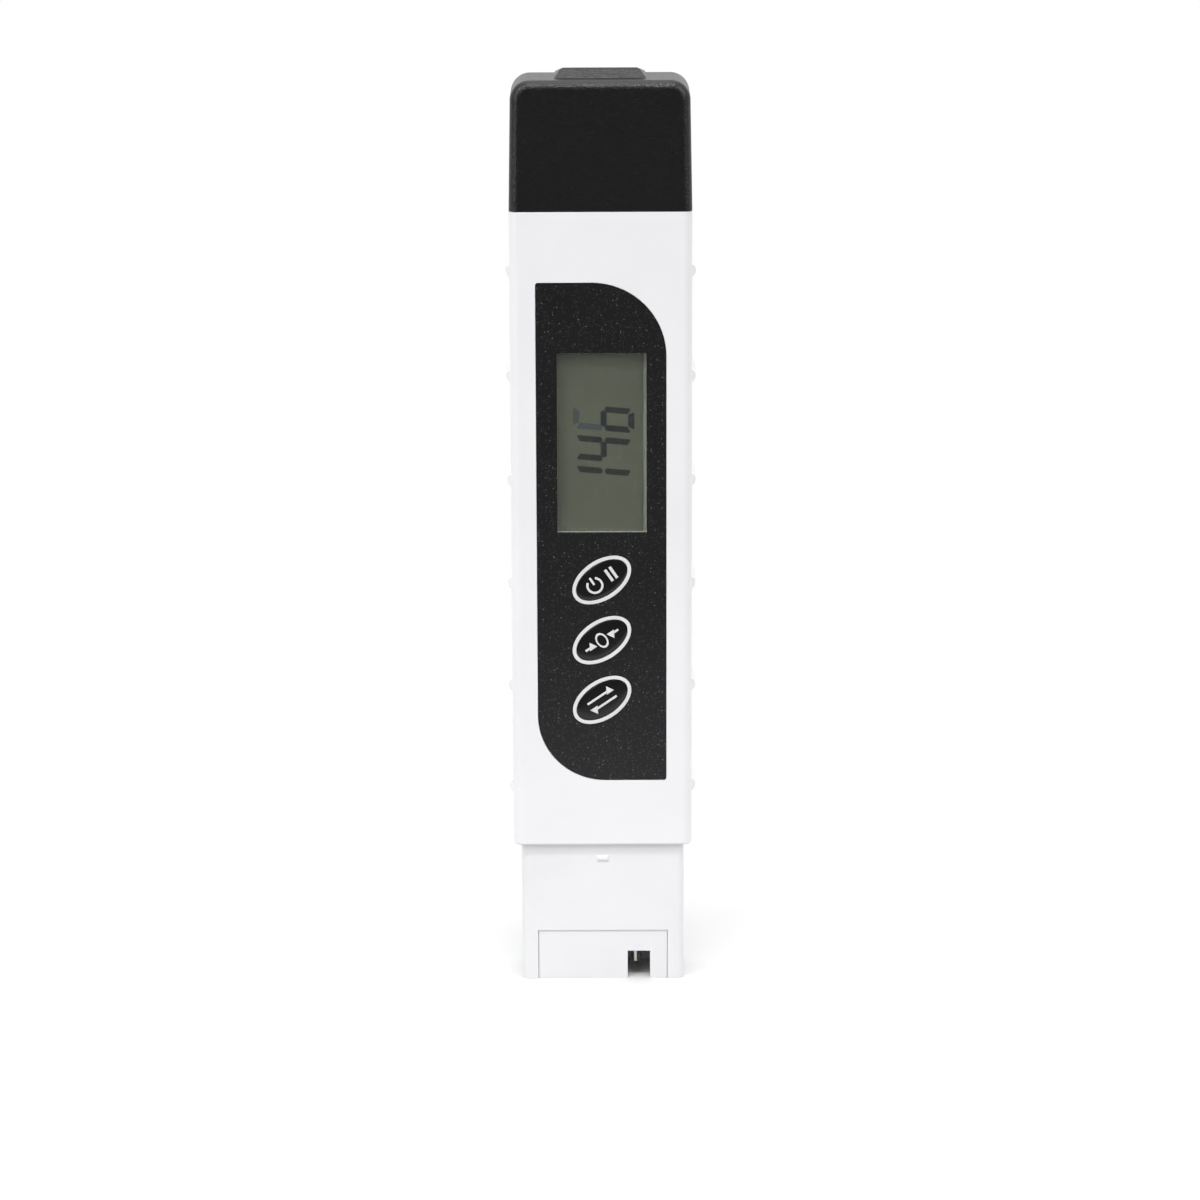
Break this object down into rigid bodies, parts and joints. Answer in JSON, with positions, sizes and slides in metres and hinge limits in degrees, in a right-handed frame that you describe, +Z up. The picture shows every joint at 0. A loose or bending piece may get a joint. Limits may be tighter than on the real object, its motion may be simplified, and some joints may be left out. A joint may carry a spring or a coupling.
{
  "type": "tds meter",
  "caption": "Pen-shaped water-quality meter: white sleeve with black key label and display, black battery cover with pocket clip, and an open probe neck at the lower end.",
  "frame": {"origin": "middle of the probe end, where the neck's rim ends and a protective cap slides on", "axes": "+Z up along the meter from the probe end to the pocket clip's root, -Y is the face with the display and keys, +Y the back with the clip, +X to the right as seen from the face"},
  "size_m": [0.0312, 0.0215, 0.1543],
  "materials": {
    "white_plastic": "satin white ABS",
    "label_film": "black printed film with a fine sparkle",
    "clear_window": "clear acrylic",
    "key_black": "black, slightly glossy",
    "switch_black": "moulded black nylon",
    "stem_white": "moulded white nylon",
    "polarizer": "grey-green film",
    "display_glass": "thin polished glass",
    "reflector": "silvery grey film",
    "contact_rubber": "layered conductive rubber",
    "frame_white": "moulded white ABS",
    "board_green": "green solder mask",
    "screw_steel": "zinc plated",
    "resin_black": "cast black resin",
    "chip_black": "moulded black epoxy",
    "can_steel": "drawn steel can",
    "part_ceramic": "fired ceramic with tinned ends",
    "cell_steel": "nickel-plated steel",
    "contact_metal": "nickel-plated spring strip",
    "cover_black": "fine satin black ABS",
    "probe_white": "satin white ABS",
    "electrode_metal": "polished titanium-grey alloy",
    "potting_resin": "cast resin",
    "wire_insulation": "PVC insulation",
    "bead_epoxy": "dipped epoxy bead"
  },
  "bodies": {
    "meter": {"housing": "white_plastic", "overlay_label": "label_film", "window_lens": "clear_window", "power_switch_base": "switch_black", "clear_switch_base": "switch_black", "mode_switch_base": "switch_black", "lcd_front_polarizer": "polarizer", "lcd_front_glass": "display_glass", "lcd_rear_glass": "display_glass", "lcd_reflector": "reflector", "zebra_strip": "contact_rubber", "lcd_frame": "frame_white", "circuit_board": "board_green", "board_screws": "screw_steel", "inner_frame": "frame_white", "processor_blob": "resin_black", "amplifier_chip": "chip_black", "crystal": "can_steel", "chip_resistors": "part_ceramic", "chip_capacitors": "part_ceramic", "battery_holder": "frame_white", "left_button_cell": "cell_steel", "right_button_cell": "cell_steel", "bridge_contact": "contact_metal", "negative_contact": "contact_metal", "positive_contact": "contact_metal", "probe_holder": "probe_white", "electrode_block": "probe_white", "left_electrode": "electrode_metal", "right_electrode": "electrode_metal", "potting_plug": "potting_resin", "electrode_wires": "wire_insulation", "thermistor": "bead_epoxy"},
    "power_key": {"power_key": "key_black", "power_switch_stem": "stem_white"},
    "clear_key": {"clear_key": "key_black", "clear_switch_stem": "stem_white"},
    "mode_key": {"mode_key": "key_black", "mode_switch_stem": "stem_white"},
    "battery_cover": {"battery_cover": "cover_black"},
    "pocket_clip": {"pocket_clip": "cover_black"}
  },
  "joints": [
    {"name": "power_key_press", "type": "slide", "parent": "meter", "child": "power_key", "axis": [0, 1, 0], "range_m": [0, 0.0003], "stiffness_N_per_m": 4000},
    {"name": "clear_key_press", "type": "slide", "parent": "meter", "child": "clear_key", "axis": [0, 1, 0], "range_m": [0, 0.0003], "stiffness_N_per_m": 4000},
    {"name": "mode_key_press", "type": "slide", "parent": "meter", "child": "mode_key", "axis": [0, 1, 0], "range_m": [0, 0.0003], "stiffness_N_per_m": 4000},
    {"name": "battery_cover_pull", "type": "slide", "parent": "meter", "child": "battery_cover", "axis": [0, 0, 1], "range_m": [0, 0.03]},
    {"name": "pocket_clip_flex", "type": "hinge", "parent": "battery_cover", "child": "pocket_clip", "pos_m": [0, 0.0133, 0.1488], "axis": [1, 0, 0], "range_deg": [0, 5], "stiffness_Nm_per_rad": 2}
  ]
}
